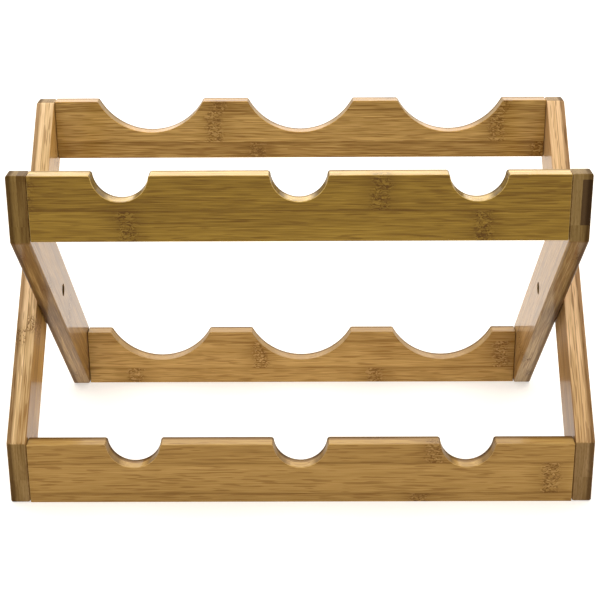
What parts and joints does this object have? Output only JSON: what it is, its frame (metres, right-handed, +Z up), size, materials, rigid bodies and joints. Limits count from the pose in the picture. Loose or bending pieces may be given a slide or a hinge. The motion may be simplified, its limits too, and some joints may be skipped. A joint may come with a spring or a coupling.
{
  "type": "wine rack",
  "caption": "Folding two-tier bamboo wine rack: two crossed frames of side boards, front rails with half-round neck notches and back rails with wide body notches.",
  "frame": {"origin": "middle of the rack on the surface that it stands on, at the bottom centre of its bounding box", "axes": "+X to the right along the rails and the pivot line, +Y to the back where the bottles' bodies lie, +Z up"},
  "size_m": [0.39, 0.205, 0.228],
  "materials": {
    "side_boards": "semi-gloss lacquered bamboo strips, narrow edges show the laminations",
    "rail_front_lower": "semi-gloss lacquered bamboo, honey, grain along the length",
    "rail_front_upper": "semi-gloss lacquered bamboo, olive brown, grain along the length",
    "rail_back_lower": "semi-gloss lacquered bamboo, honey, grain along the length",
    "rail_back_upper": "semi-gloss lacquered bamboo, honey, darker joint marks",
    "wood_screws": "zinc plated",
    "pivot_hardware": "dark plated steel",
    "stop_pins": "plain ground steel"
  },
  "bodies": {
    "outer_frame": {"outer_board_left": "side_boards", "outer_board_right": "side_boards", "rail_front_lower": "rail_front_lower", "rail_back_upper": "rail_back_upper", "screw_front_lower_left_1": "wood_screws", "screw_front_lower_left_2": "wood_screws", "screw_front_lower_right_1": "wood_screws", "screw_front_lower_right_2": "wood_screws", "screw_back_upper_left_1": "wood_screws", "screw_back_upper_left_2": "wood_screws", "screw_back_upper_right_1": "wood_screws", "screw_back_upper_right_2": "wood_screws", "pivot_post_left": "pivot_hardware", "pivot_post_right": "pivot_hardware", "pivot_screw_left": "pivot_hardware", "pivot_screw_right": "pivot_hardware", "stop_pin_left": "stop_pins", "stop_pin_right": "stop_pins"},
    "inner_frame": {"inner_board_left": "side_boards", "inner_board_right": "side_boards", "rail_front_upper": "rail_front_upper", "rail_back_lower": "rail_back_lower", "screw_front_upper_left_1": "wood_screws", "screw_front_upper_left_2": "wood_screws", "screw_front_upper_right_1": "wood_screws", "screw_front_upper_right_2": "wood_screws", "screw_back_lower_left_1": "wood_screws", "screw_back_lower_left_2": "wood_screws", "screw_back_lower_right_1": "wood_screws", "screw_back_lower_right_2": "wood_screws"}
  },
  "joints": [
    {"name": "fold", "type": "hinge", "parent": "outer_frame", "child": "inner_frame", "pos_m": [0, 0, 0.114], "axis": [-1, 0, 0], "range_deg": [0, 75]}
  ]
}
